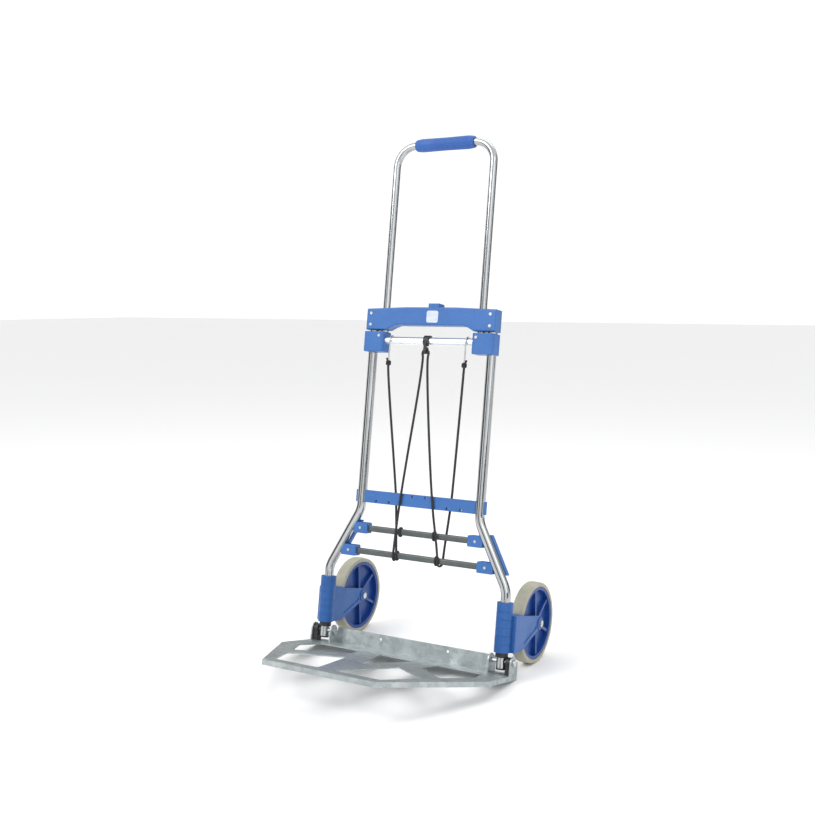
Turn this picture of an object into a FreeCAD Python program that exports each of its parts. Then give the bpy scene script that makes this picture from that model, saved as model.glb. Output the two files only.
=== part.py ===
"""Folding luggage cart: two bent frame tubes, a telescopic handle on two sliders, a folding toe plate
and two wheels on forks that swivel inwards as the plate folds up.

Frame coordinates, used for everything that leans with the frame: X to the cart's left-right,
Y to the back and Z up along the tubes, with the origin where the tubes' axes would meet the floor.
Plate coordinates: Y to the back and Z up through the plate, with the origin at its lowest rear edge.
"""
import FreeCAD, Part
import os
from math import cos, radians, sin, tan

from FreeCAD import Placement, Rotation, Vector
import Sketcher

X_AXIS, Y_AXIS, Z_AXIS = Vector(1, 0, 0), Vector(0, 1, 0), Vector(0, 0, 1)
SIDES = {"left": -1, "right": 1}

# Driving dimensions in millimetres and degrees.
SIZES = {
    "lean": 8.5,  # the frame leans back
    "rise": 11.8,  # the open toe plate rises to the front
    "wall": 1.5,  # every tube
    "gap": 0.35,  # between parts of different bodies
    # frame tubes
    "tube_od": 20.0, "track": 141.2, "foot_track": 211.0, "tube_top": 733.0, "tube_foot": 26.0,
    "splay_top": 308.0, "splay_foot": 178.0, "bend": 55.0,
    # handle
    "leg_od": 16.0, "leg_track": 115.0, "handle_top": 1088.0, "handle_bend": 44.0, "leg_foot": 650.0,
    "grip_r": 14.0, "grip_half": 74.0, "handle_travel": 280.0,
    # crossbeam
    "beam_half": 153.0, "beam_foot": 692.0, "beam_end_top": 737.0, "beam_top": 740.5, "arch": 703.0,
    "arch_half": 80.0, "arch_foot": 104.0, "beam_front": 18.0, "beam_back": 13.0,
    # sliders and hook bar
    "slider_foot": 645.0, "slider_tall": 43.0, "slider_in": 105.0, "slider_out": 153.5,
    "slider_front": 23.5, "slider_back": 13.0, "bar_r": 8.0, "bar_n": 8.0, "bar_v": 670.0,
    # release button and lock bars
    "button_u": 8.0, "button_half": 13.0, "button_top": 748.5, "cap_front": 16.0, "button_travel": 4.0,
    # strap, rods and side rails
    "strap_v": 335.5, "strap_tall": 26.0, "strap_half_deep": 5.0, "rod_upper": 267.5, "rod_lower": 217.5,
    "rod_tall": 13.0, "rod_deep": 8.0, "rod_n": 3.0, "rail_top": 283.0, "rail_foot": 207.0, "socket_tall": 23.0,
    # toe plate
    "sheet": 2.5, "rim": 10.0, "plate_long": 357.0, "front_half": 124.0, "waist_half": 240.0,
    "waist_y": 136.0, "pin_v": 38.7, "pin_r": 4.0, "pin_y": 22.2, "flange_tall": 34.0, "ear_r": 13.0,
    "ear_in": 187.0, "ear_out": 235.0,
    # wheels and forks
    "wheel_r": 84.0, "wheel_half": 13.0, "disc_r": 75.0, "hub_r": 14.0, "axle_r": 4.0, "arm": 125.5,
    "wheel_u": 216.5, "fork_half": 19.0, "fork_wall": 4.0, "sleeve_r": 16.5, "sleeve_foot": 57.0,
    "sleeve_top": 155.0, "arm_top": 130.0,
    # elastic cord
    "cord_r": 2.5, "wire_r": 1.5, "hook_u": 90.0, "centre_hook_u": -4.0, "eye_wide": 6.0,
    "eye_n": -14.0, "knot_v": 621.0,
}
size = type("Sizes", (), SIZES)

LEAN, RISE = radians(size.lean), radians(size.rise)
AXLE_V = (size.wheel_r + size.arm * sin(LEAN)) / cos(LEAN)  # puts the tyres on the floor
PIN_Z = (size.pin_v * cos(LEAN) - size.pin_y * sin(RISE)) / cos(RISE)  # above the plate's lowest edge
PIN_BACK = -size.pin_y * cos(RISE) + PIN_Z * sin(RISE) - size.pin_v * sin(LEAN)
WHEEL_BACK = AXLE_V * sin(LEAN) + size.arm * cos(LEAN) + size.wheel_r
PLATE_FRONT = -PIN_BACK - size.plate_long * cos(RISE)
FOOT_Y = -(WHEEL_BACK + PLATE_FRONT) / 2  # centres the cart's length on the origin
SIZES.update(axle_v=AXLE_V, pin_z=PIN_Z)

FRAME = Placement(Vector(0, FOOT_Y, 0), Rotation(X_AXIS, -size.lean))
PLATE = Placement(Vector(0, FOOT_Y - PIN_BACK, 0), Rotation(X_AXIS, -size.rise))

doc = FreeCAD.newDocument("luggage_cart")
parts = []


def make_sheet():
    """The driving dimensions, one row each, under the name Dim."""
    sheet = doc.addObject("Spreadsheet::Sheet", "Dim")
    for row, (name, value) in enumerate(SIZES.items(), start=1):
        sheet.set(f"A{row}", name)
        sheet.set(f"B{row}", f"{value:.6f}")
        sheet.setAlias(f"B{row}", name)
    doc.recompute()
    return sheet


sheet = make_sheet()


def bind(item, **expressions):
    """Bind an object's sizes to expressions; x, y and z place it."""
    places = {"x": "Placement.Base.x", "y": "Placement.Base.y", "z": "Placement.Base.z"}
    for name, expression in expressions.items():
        item.setExpression(places.get(name, name), str(expression))
    return item


def box(x, y, z, length, width, tall):
    """A box from its low corner and its three sides."""
    return bind(doc.addObject("Part::Box", "Box"), x=x, y=y, z=z, Length=length, Width=width, Height=tall)


def cylinder(x, y, z, radius, length, axis=Z_AXIS):
    """A cylinder from the centre of its first end."""
    item = doc.addObject("Part::Cylinder", "Cylinder")
    item.Placement = Placement(Vector(), Rotation(Z_AXIS, axis))
    return bind(item, x=x, y=y, z=z, Radius=radius, Height=length)


def fuse(*items):
    item = doc.addObject("Part::MultiFuse", "Fuse")
    item.Shapes = list(items)
    item.Refine = True
    return item


def cut(base, *tools):
    item = doc.addObject("Part::Cut", "Cut")
    item.Base = base
    item.Tool = tools[0] if len(tools) == 1 else fuse(*tools)
    item.Refine = True
    return item


def group(*items):
    """Separate solids kept as one sub-part."""
    item = doc.addObject("Part::Compound", "Group")
    item.Links = list(items)
    return item


def rounded(base, radius, pick):
    """Round the edges of base that pick chooses."""
    doc.recompute()
    item = doc.addObject("Part::Fillet", "Round")
    item.Base = base
    edges = [n for n, edge in enumerate(base.Shape.Edges, start=1) if pick(edge)]
    item.Edges = [(n, radius, radius) for n in edges]
    return item


def along(axis):
    """A test for straight edges that run along an axis."""
    def test(edge):
        if edge.Curve.TypeId != "Part::GeomLine":
            return False
        return abs(abs(edge.Curve.Direction.dot(axis)) - 1) < 1e-6
    return test


def outlined(name, plane, points, start):
    """A PartDesign body with one sketch: a closed outline whose points are pairs of expressions."""
    body = doc.addObject("PartDesign::Body", name)
    sketch = body.newObject("Sketcher::SketchObject", name + "Outline")
    support = next(f for f in body.Origin.OriginFeatures if f.Role == plane)
    sketch.AttachmentSupport = [(support, "")]
    sketch.MapMode = "FlatFace"
    sketch.setExpression("AttachmentOffset.Base.z", str(start))
    places = [Vector(*(float(sketch.evalExpression(str(e))) for e in point)) for point in points]
    for n, place in enumerate(places):
        sketch.addGeometry(Part.LineSegment(place, places[(n + 1) % len(places)]), False)
    for n, (place, point) in enumerate(zip(places, points)):
        sketch.addConstraint(Sketcher.Constraint("Coincident", n, 2, (n + 1) % len(places), 1))
        for kind, value, expression in zip(("DistanceX", "DistanceY"), place, point):
            number = sketch.addConstraint(Sketcher.Constraint(kind, -1, 1, n, 1, value))
            sketch.setExpression(f"Constraints[{number}]", str(expression))
    return body, sketch


def prism(name, plane, points, start, depth):
    """A PartDesign body padded from a closed outline."""
    body, sketch = outlined(name, plane, points, start)
    pad = body.newObject("PartDesign::Pad", name + "Pad")
    pad.Profile = sketch
    pad.setExpression("Length", str(depth))
    return body


def bent_path(points, radii):
    """A wire of straight runs joined by tangent arcs, one radius for each inner point."""
    edges = []
    start = points[0]
    for before, corner, after, radius in zip(points, points[1:], points[2:], radii):
        into, out = (corner - before).normalize(), (after - corner).normalize()
        half = into.getAngle(out) / 2
        first, last = corner - into * radius * tan(half), corner + out * radius * tan(half)
        inward = (out - into).normalize()
        middle = corner + inward * (radius / cos(half) - radius)
        edges += [Part.LineSegment(start, first).toShape(), Part.Arc(first, middle, last).toShape()]
        start = last
    edges.append(Part.LineSegment(start, points[-1]).toShape())
    return Part.Wire(edges)


def swept(path, radius):
    """A round bar along a path."""
    first = path.Edges[0]
    start = first.valueAt(first.FirstParameter)
    circle = Part.Wire(Part.Circle(start, first.tangentAt(first.FirstParameter), radius).toShape())
    return path.makePipeShell([circle], True, False)


def feature(label, shape, place=FRAME):
    """A sub-part whose shape Part's functions made."""
    item = doc.addObject("Part::Feature", label)
    item.Shape = shape
    return finish(item, label, place)


def finish(item, label, place=FRAME):
    """Name a sub-part and put it in its place in the row frame."""
    item.Label = label
    item.Placement = place
    parts.append(item)
    return item


def revolved(name, points):
    """A PartDesign body turned from a closed outline about X."""
    body, sketch = outlined(name, "XZ_Plane", points, 0)
    turn = body.newObject("PartDesign::Revolution", name + "Turn")
    turn.Profile = sketch
    turn.ReferenceAxis = (sketch, ["H_Axis"])
    turn.Angle = 360
    return body


# Frame ------------------------------------------------------------------------------------------

BEAM_RIVETS = (703, 727)  # heights of the rivets that hold the crossbeam on the frame tubes
SLIDER_RIVET = 679  # height of the rivet that holds each slider on its leg
STRAP_HOLES = ((-87, -8.5), (0, 8.5), (83, -8.5))  # middle of each pair of holes, from the strap's centre
RODS = {"upper": (size.rod_upper, 34), "lower": (size.rod_lower, 36)}  # height and socket length


def tube(path, outer_r):
    return swept(path, outer_r).cut(swept(path, outer_r - size.wall))


def cross_hole(shape, place, radius, axis):
    """Drill right through a tube, centred on a place."""
    reach = 2 * size.tube_od
    return shape.cut(Part.makeCylinder(radius, reach, place - axis * reach / 2, axis))


def frame_tube(side_name, side):
    """A straight upper run, a splayed middle and a straight foot with the hinge pin's cross hole."""
    points = [
        Vector(side * size.track, 0, size.tube_top),
        Vector(side * size.track, 0, size.splay_top),
        Vector(side * size.foot_track, 0, size.splay_foot),
        Vector(side * size.foot_track, 0, size.tube_foot),
    ]
    shape = tube(bent_path(points, [size.bend, size.bend]), size.tube_od / 2)
    shape = cross_hole(shape, Vector(side * size.foot_track, 0, size.pin_v), size.pin_r + 0.05, X_AXIS)
    for v in BEAM_RIVETS:
        shape = cross_hole(shape, Vector(side * size.track, 0, v), 2.05, Y_AXIS)
    feature("frame_tube_" + side_name, shape)


def foot_plug(side_name, side):
    """A plastic plug that closes the foot of a frame tube."""
    centre = f"{side} * Dim.foot_track"
    head = cylinder(centre, 0, "Dim.tube_foot - 3", "Dim.tube_od / 2", 3)
    spigot = cylinder(centre, 0, "Dim.tube_foot - 0.5", "Dim.tube_od / 2 - Dim.wall - 0.05", 4.5)
    finish(fuse(head, spigot), "foot_plug_" + side_name)


def lower_strap():
    """A moulded bar between the frame tubes, with a saddle behind each tube and six holes."""
    low = "Dim.strap_v - Dim.strap_tall / 2"
    bar = box("-Dim.track", "-Dim.strap_half_deep", low, "2 * Dim.track", "2 * Dim.strap_half_deep", "Dim.strap_tall")
    saddles, bores = [], []
    for side in SIDES.values():
        centre = f"{side} * Dim.track"
        saddles.append(cylinder(centre, 0, low, "Dim.tube_od / 2 + 3", "Dim.strap_tall"))
        bores.append(cylinder(centre, 0, f"{low} - 1", "Dim.tube_od / 2 + 0.05", "Dim.strap_tall + 2"))
        bores.append(cylinder(centre, 5, "Dim.strap_v", 1.85, 20, Y_AXIS))
    front = box("-Dim.track - 20", -20, low, "2 * Dim.track + 40", "20 - Dim.strap_half_deep", "Dim.strap_tall")
    for u, v in STRAP_HOLES:
        bores += [cylinder(u + step, -10, f"Dim.strap_v + {v}", 3, 20, Y_AXIS) for step in (-15.5, 15.5)]
    finish(cut(fuse(bar, *saddles), front, *bores), "lower_strap")


def rivet(x, y, z, radius, length, front_head=True, back_head=False, reach=1.3):
    """A rivet along Y, with a low head at one end or both."""
    pieces = [cylinder(x, y, z, radius, length, Y_AXIS)]
    if front_head:
        pieces.append(cylinder(x, f"{y} - {reach}", z, radius * 1.6, reach, Y_AXIS))
    if back_head:
        pieces.append(cylinder(x, f"{y} + {length}", z, radius * 1.6, reach, Y_AXIS))
    return fuse(*pieces)


def splay_at(v):
    """The frame tube's distance from the middle at a height on its splayed run."""
    share = (size.splay_top - v) / (size.splay_top - size.splay_foot)
    return size.track + share * (size.foot_track - size.track)


def socket_span(rod, reach):
    """Where a rod's socket starts and ends, from the middle of the cart."""
    outer = splay_at(rod) - 9
    return outer - reach, outer


def rod_shape(rod, extra, start, end):
    """A flat-oval bar across the cart at a height, between two places."""
    low, high = min(start, end), max(start, end)
    radius, reach = f"(Dim.rod_deep / 2 + {extra})", "(Dim.rod_tall - Dim.rod_deep) / 2"
    middle = box(low, f"Dim.rod_n - {radius}", f"{rod} - {reach}", high - low, f"2 * {radius}", f"2 * {reach}")
    rounds = [cylinder(low, "Dim.rod_n", f"{rod} + {s} * {reach}", radius, high - low, X_AXIS) for s in (-1, 1)]
    return fuse(middle, *rounds)


def side_rail(side_name, side):
    """A moulded channel behind the splayed run, with a socket for the end of each cross rod."""
    top, foot, half = size.rail_top, size.rail_foot, 13.5
    corners = ((top, half), (top, -half), (foot, -half), (foot, half))
    outline = [(side * (splay_at(v) + shift), v) for v, shift in corners]
    channel = prism("Rail" + side_name, "XZ_Plane", outline, -15.5, 10.5)
    sockets, bores = [], []
    for rod, reach in RODS.values():
        start, outer = socket_span(rod, reach)
        low = start if side > 0 else -outer
        block = box(low, -6, f"{rod} - Dim.socket_tall / 2", reach, 20, "Dim.socket_tall")
        sockets.append(rounded(block, 2.5, along(Y_AXIS)))
        bores.append(rod_shape(rod, 0.02, side * (start - 5), side * (outer - 9.8)))
        bores.append(cylinder(side * (start + reach / 2), -20, rod, 1.85, 40, Y_AXIS))
    ends = [Vector(side * splay_at(v), 0, v) for v in (foot - 60, top + 60)]
    room = doc.addObject("Part::Feature", "TubeRoom" + side_name)
    room.Shape = swept(Part.Wire(Part.LineSegment(*ends).toShape()), size.tube_od / 2 + 0.05)
    finish(cut(fuse(channel, *sockets), room, *bores), "side_rail_" + side_name)


def cross_rod(name, rod, reach):
    """A flat-oval tube whose ends sit in the side rails' sockets."""
    start, outer = socket_span(rod, reach)
    end = outer - 10
    skin, core = rod_shape(rod, 0, -end, end), rod_shape(rod, -1.2, -end - 1, end + 1)
    holes = [cylinder(side * (start + reach / 2), -10, rod, 1.85, 20, Y_AXIS) for side in SIDES.values()]
    finish(cut(skin, core, *holes), "cross_rod_" + name)


def frame_rivets():
    strap, rods = [], []
    for side in SIDES.values():
        strap.append(rivet(f"{side} * Dim.track", "Dim.tube_od / 2 + 0.2", "Dim.strap_v", 1.8, 2.8, False, True))
        for rod, reach in RODS.values():
            rods.append(rivet(side * (socket_span(rod, reach)[0] + reach / 2), -6, rod, 1.8, 20))
    finish(group(*strap), "strap_rivets")
    finish(group(*rods), "rod_rivets")


# Crossbeam --------------------------------------------------------------------------------------

def beam_outline():
    right = [
        ("Dim.arch_half", "Dim.arch"), ("Dim.arch_half + 12", "Dim.arch - 4.5"), ("Dim.arch_foot", "Dim.beam_foot"),
        ("Dim.beam_half", "Dim.beam_foot"), ("Dim.beam_half", "Dim.beam_end_top"), ("60", "Dim.beam_top"),
    ]
    return right + [(f"-({x})", z) for x, z in reversed(right)]


def crossbeam_room():
    """What both shells of the crossbeam make room for."""
    room = []
    for side in SIDES.values():
        outer, leg = f"{side} * Dim.track", f"{side} * Dim.leg_track"
        room.append(cylinder(outer, 0, "Dim.beam_foot - 1", "Dim.tube_od / 2 + 0.05", "Dim.tube_top - Dim.beam_foot + 1.3"))
        room.append(cylinder(leg, 0, "Dim.beam_foot - 1", "Dim.leg_od / 2 + Dim.gap", 60))
        room.append(cylinder(leg, 0, "Dim.beam_end_top - 14", "Dim.leg_od / 2 + 2", 40))
        room += [cylinder(outer, -30, v, 2.05, 60, Y_AXIS) for v in BEAM_RIVETS]
    room.append(box("-Dim.leg_track + 2", -6.3, 711.7, "2 * Dim.leg_track - 4", 12.6, 12.6))
    low, wide = "Dim.button_u - Dim.button_half - 0.4", "2 * Dim.button_half + 0.8"
    room.append(box(low, -6.3, 706, wide, 15.7, 40))
    room.append(box(low, "-Dim.cap_front - 0.4", 728.5, wide, "Dim.cap_front + 9.8", 40))
    return room


def crossbeam_shell(label, start, depth, level):
    """One half of the crossbeam, rounded along its outer face's edges."""
    body = prism(label + "Body", "XZ_Plane", beam_outline(), start, depth)
    shell = rounded(body, 3, lambda e: all(abs(v.Point.y - level) < 0.01 for v in e.Vertexes))
    finish(cut(shell, *crossbeam_room()), label)


def crossbeam():
    crossbeam_shell("crossbeam_front", 0, "Dim.beam_front", -size.beam_front)
    crossbeam_shell("crossbeam_rear", "-Dim.beam_back", "Dim.beam_back", size.beam_back)
    rivets, bushes = [], []
    for side in SIDES.values():
        for v in BEAM_RIVETS:
            rivets.append(rivet(f"{side} * Dim.track", -size.beam_front, v, 2, size.beam_front + size.beam_back, True, True))
        leg = f"{side} * Dim.leg_track"
        ring = cylinder(leg, 0, "Dim.beam_end_top - 13.95", "Dim.leg_od / 2 + 1.95", 13.95)
        bushes.append(cut(ring, cylinder(leg, 0, 700, "Dim.leg_od / 2 + 0.06", 60)))
    finish(group(*rivets), "crossbeam_rivets")
    finish(group(*bushes), "leg_guide_bushes")
    badge = box("Dim.button_u - 13.5", "-Dim.beam_front - 0.8", 708, 27, 0.8, 25)
    finish(rounded(badge, 4, along(Y_AXIS)), "blank_badge")


PEG_U, PEG_V = 9, 718  # each lock bar's peg, from the button's middle and up the frame


def release_button():
    """A push button whose stem has two sloping slots, which draw the lock bars inwards."""
    low, wide = "Dim.button_u - Dim.button_half", "2 * Dim.button_half"
    cap = box(low, "-Dim.cap_front", 733, wide, "Dim.cap_front + 9", "Dim.button_top - 733")
    cap = rounded(cap, 2, along(Z_AXIS))
    stem = box(low, 1.3, 711, wide, 3, 23)
    slots = []
    for side in SIDES.values():
        outer, inner = f"Dim.button_u + {side} * {PEG_U}", f"Dim.button_u + {side} * ({PEG_U} - Dim.button_travel)"
        across = 2.3 / 2 ** 0.5
        outline = [
            (f"{outer} - {across} * {side}", PEG_V - across), (f"{outer} + {across} * {side}", PEG_V + across),
            (f"{inner} + {across} * {side}", f"{PEG_V} + Dim.button_travel + {across}"),
            (f"{inner} - {across} * {side}", f"{PEG_V} + Dim.button_travel - {across}"),
        ]
        slots.append(prism(f"Slot{side + 1}", "XZ_Plane", outline, -6, 6))
        slots.append(cylinder(outer, 0, PEG_V, 2.3, 6, Y_AXIS))
        slots.append(cylinder(inner, 0, f"{PEG_V} + Dim.button_travel", 2.3, 6, Y_AXIS))
    finish(cut(fuse(cap, stem), *slots), "release_button")


def button_spring():
    """A slim compression spring between the crossbeam's floor and the button."""
    coil = Part.makeHelix(2.6, 25.5, 1.8)
    wire = Part.Wire(Part.Circle(Vector(1.8, 0, 0), Y_AXIS, 0.35).toShape())
    shape = Part.Wire(coil.Edges).makePipeShell([wire], True, True)
    feature("button_spring", shape, FRAME * Placement(Vector(size.button_u, 6.9, 706.8), Rotation()))


def lock_bar(side_name, side):
    """A bar from the button's slot to a handle leg, with a peg in the slot."""
    near = size.button_u + side * 6
    far = side * (size.leg_track - size.leg_od / 2 - size.gap)
    low, high = min(near, far), max(near, far)
    bar = box(low, -4.5, 713.5, high - low, 5.5, 9)
    peg = cylinder(size.button_u + side * PEG_U, 0.5, PEG_V, 2, 4.5, Y_AXIS)
    finish(fuse(bar, peg), "lock_bar_" + side_name)


# Handle -----------------------------------------------------------------------------------------

def handle():
    """A U-shaped tube with a moulded grip in the middle of its top."""
    half, top, foot = size.leg_track, size.handle_top, size.leg_foot
    points = [Vector(-half, 0, foot), Vector(-half, 0, top), Vector(half, 0, top), Vector(half, 0, foot)]
    shape = tube(bent_path(points, [size.handle_bend] * 2), size.leg_od / 2)
    for side in SIDES.values():
        shape = cross_hole(shape, Vector(side * half, 0, SLIDER_RIVET), 2.05, Y_AXIS)
    feature("handle_tube", shape)
    bore = "Dim.leg_od / 2 + 0.05"
    right = [("Dim.grip_half - 5", bore), ("Dim.grip_half - 5", 11), ("Dim.grip_half - 8", 12.6), ("Dim.grip_half - 20", "Dim.grip_r")]
    left = [(f"-({x})", r) for x, r in reversed(right)]
    grip = revolved("Grip", right + [(0, "Dim.grip_r - 0.6")] + left)
    finish(grip, "handle_grip", FRAME * Placement(Vector(0, 0, top), Rotation()))


def slider_block(side_name, side):
    """A moulded collar fixed on the foot of a handle leg, which runs on the frame tube."""
    low = "Dim.slider_in" if side > 0 else "-Dim.slider_out"
    deep, wide = "Dim.slider_front + Dim.slider_back", "Dim.slider_out - Dim.slider_in"
    block = box(low, "-Dim.slider_front", "Dim.slider_foot", wide, deep, "Dim.slider_tall")
    block = rounded(block, 6, along(Z_AXIS))
    levels = (size.slider_foot, size.slider_foot + size.slider_tall)
    block = rounded(block, 1.5, lambda e: any(abs(e.BoundBox.Center.z - z) < 0.1 for z in levels))
    run = cylinder(f"{side} * Dim.track", 0, "Dim.slider_foot - 1", "Dim.tube_od / 2 + Dim.gap", "Dim.slider_tall + 2")
    seat = cylinder(f"{side} * Dim.leg_track", 0, "Dim.leg_foot", "Dim.leg_od / 2 + 0.05", 60)
    bar_end = "Dim.slider_in - 1" if side > 0 else "-Dim.slider_in - 1.8"
    bar = cylinder(bar_end, "-Dim.bar_n", "Dim.bar_v", "Dim.bar_r + 0.05", 2.8, X_AXIS)
    hole = cylinder(f"{side} * Dim.leg_track", -30, SLIDER_RIVET, 2.05, 60, Y_AXIS)
    finish(cut(block, run, seat, bar, hole), "slider_block_" + side_name)


def slider_fittings():
    deep = size.slider_front + size.slider_back
    rivets = [rivet(f"{s} * Dim.leg_track", -size.slider_front, SLIDER_RIVET, 2, deep) for s in SIDES.values()]
    finish(group(*rivets), "slider_rivets")
    outer = cylinder("-Dim.slider_in - 1.6", "-Dim.bar_n", "Dim.bar_v", "Dim.bar_r", "2 * Dim.slider_in + 3.2", X_AXIS)
    inner = cylinder("-Dim.slider_in - 9", "-Dim.bar_n", "Dim.bar_v", "Dim.bar_r - 1.2", "2 * Dim.slider_in + 18", X_AXIS)
    finish(cut(outer, inner), "hook_bar")


# Elastic cord and its hooks -----------------------------------------------------------------------

HOOK_R = size.bar_r + size.wire_r + 0.3  # a hook's bend over the bar
HOOK_N = -size.bar_n - HOOK_R  # the hooks' stems hang in front of the bar
KNOT_R = 6
KNOT_FOOT = size.knot_v - 5.5


def wire_hook(side_name, side):
    """A steel wire that hangs over the bar, with its stem in a knot of the cord."""
    u, top = side * size.hook_u, size.bar_v + HOOK_R
    places = ((HOOK_N, size.knot_v), (HOOK_N, top), (HOOK_N + 2 * HOOK_R, top), (HOOK_N + 2 * HOOK_R, top - 17))
    path = bent_path([Vector(u, n, v) for n, v in places], [HOOK_R - 0.02] * 2)
    feature("wire_hook_" + side_name, swept(path, size.wire_r))


def cord_knot(side_name, side):
    """The knotted end of the cord, with a short tail."""
    centre = Vector(side * size.hook_u, HOOK_N, size.knot_v)
    ball = Part.makeSphere(KNOT_R, centre)
    tail = Part.makeCylinder(size.cord_r, 13, centre, Vector(side * 0.45, -0.2, 1))
    foot = Part.makeBox(20, 20, 10, Vector(centre.x - 10, centre.y - 10, KNOT_FOOT - 10))
    stem = Part.makeCylinder(size.wire_r + 0.02, 20, centre - Z_AXIS * 0.1)
    feature("cord_knot_" + side_name, ball.fuse(tail).cut(foot).cut(stem).removeSplitter())


def centre_hook():
    """A moulded hook over the middle of the bar, with a narrower eye for the cord."""
    half, top = 6, "Dim.bar_v - 20"
    ring = cylinder(f"Dim.centre_hook_u - {half}", "-Dim.bar_n", "Dim.bar_v", "Dim.bar_r + 4", 2 * half, X_AXIS)
    leg = box("Dim.centre_hook_u - Dim.eye_wide / 2", "-Dim.bar_n - Dim.bar_r - 4", top, "Dim.eye_wide", 4, 20)
    eye = cylinder("Dim.centre_hook_u - Dim.eye_wide / 2", "Dim.eye_n", top, 7.5, "Dim.eye_wide", X_AXIS)
    bar = cylinder("Dim.centre_hook_u - 9", "-Dim.bar_n", "Dim.bar_v", "Dim.bar_r + 0.3", 18, X_AXIS)
    mouth = box("Dim.centre_hook_u - 9", "-Dim.bar_n - 5", "Dim.bar_v - 12.4", 18, 20, 12.4)
    hole = cylinder("Dim.centre_hook_u - 9", "Dim.eye_n", top, "Dim.cord_r + 0.6", 18, X_AXIS)
    finish(cut(fuse(ring, leg, eye), bar, mouth, hole), "centre_hook")


CORD_ROUTE = [  # across, back and up the frame, from the left knot to the right one
    (-90, HOOK_N, KNOT_FOOT), (-90, HOOK_N, 602), (-63.5, 8, 352), (-60.5, 9, 320), (-53.5, 10.5, 232),
    (-53, 10.5, 207.5), (-52, -4.5, 207.5), (-51.5, -4.5, 232), (-41, -9.5, 350), (-7.2, -13.7, 628),
    (-12.5, -14, 650), (4.5, -14, 650), (-0.8, -13.7, 628), (31, -9.5, 350), (53.5, -4.5, 232),
    (54, -4.5, 207.5), (59, 10.5, 207.5), (59.5, 10.5, 232), (68, 9, 320), (71, 8, 352),
    (90, HOOK_N, 602), (90, HOOK_N, KNOT_FOOT),
]
CORD_BENDS = [25, 30, 30, 30, 7, 7, 30, 30, 12, 4.5, 4.5, 12, 30, 30, 7, 7, 30, 30, 30, 25]


def cord_wraps():
    """The cord's turns round each cross rod, beside each of its two inner strands."""
    wraps = []
    for rod, starts in ((size.rod_upper, (-44.2, 36.6)), (size.rod_lower, (-48.6, 45.7))):
        for start in starts:
            ring = rod_shape(rod, 4.2, start, start + 5)
            ring = rounded(ring, 1.8, lambda e: abs(e.BoundBox.XLength) < 0.01)
            wraps.append(cut(ring, rod_shape(rod, 0.03, start - 1, start + 6)))
    finish(group(*wraps), "cord_wraps")


def elastic_cord():
    """One tight cord: hook, behind the strap, under the lower rod, centre hook, and back the same way."""
    path = bent_path([Vector(*point) for point in CORD_ROUTE], CORD_BENDS)
    shape = swept(path, size.cord_r)
    ideal = 3.141593 * size.cord_r ** 2 * path.Length
    print(f"cord: length {path.Length:.1f} mm, bend radii {CORD_BENDS}, volume ratio {shape.Volume / ideal:.4f}")
    feature("elastic_cord", shape)


# Toe plate ----------------------------------------------------------------------------------------

def mirrored(right):
    """A closed outline from its right half, whose first and last points lie off the middle."""
    return right + [(f"-({x})", y) for x, y in reversed(right)]


def plate_outline(inset):
    return mirrored([
        (f"Dim.front_half - {inset} * 0.6", f"-Dim.plate_long + {inset}"),
        (f"Dim.waist_half - {inset} * 1.1", f"-Dim.waist_y + {inset} * 0.3"),
        (f"Dim.ear_out + Dim.sheet - {inset}", "0"),
    ])


def plate_windows():
    """The five cut-outs between the plate's rim, its V-shaped bars and its side braces."""
    middle = [(-43, -57), (43, -57), (3, -199), (-3, -199)]
    upper = [(94, -57), (192, -57), (204, -123), (168, -198), (80, -119)]
    lower = [(60, -161), (151, -239), (116, -328), (18, -328)]
    outlines = [middle]
    for outline in (upper, lower):
        outlines += [outline, [(-x, y) for x, y in outline]]
    windows = [prism(f"Window{n}", "XY_Plane", outline, -5, 20) for n, outline in enumerate(outlines)]
    return [rounded(window, 3 if n == 0 else 6, along(Z_AXIS)) for n, window in enumerate(windows)]


def ear(x):
    """An upright ear with a round top about the hinge pin."""
    web = box(x, "-Dim.pin_y - Dim.ear_r", "Dim.rim - Dim.sheet", "Dim.sheet", "Dim.pin_y + Dim.ear_r", "Dim.pin_z - Dim.rim + Dim.sheet")
    return [web, cylinder(x, "-Dim.pin_y", "Dim.pin_z", "Dim.ear_r", "Dim.sheet", X_AXIS)]


def toe_plate():
    """A pressed sheet with a turned-down rim, an upright rear flange and two pairs of hinge ears."""
    outer = prism("PlateOuter", "XY_Plane", plate_outline(0), 0, "Dim.rim")
    inner = prism("PlateInner", "XY_Plane", plate_outline(2.5), -1, "Dim.rim - Dim.sheet + 1")
    tray = cut(outer, inner)
    flange = box("-Dim.ear_in - Dim.sheet", "-Dim.sheet", "Dim.rim - Dim.sheet", "2 * (Dim.ear_in + Dim.sheet)", "Dim.sheet", "Dim.flange_tall")
    ears = []
    for x in ("Dim.ear_in", "-Dim.ear_in - Dim.sheet", "Dim.ear_out", "-Dim.ear_out - Dim.sheet"):
        ears += ear(x)
    bores = [cylinder(-260, "-Dim.pin_y", "Dim.pin_z", "Dim.pin_r + 0.06", 520, X_AXIS)]
    bores += [cylinder(x, -10, "Dim.rim + 21.5", 3.2, 20, Y_AXIS) for x in (-80.7, 80.7)]
    finish(cut(fuse(tray, flange, *ears), *bores, *plate_windows()), "toe_plate", PLATE)


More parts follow.
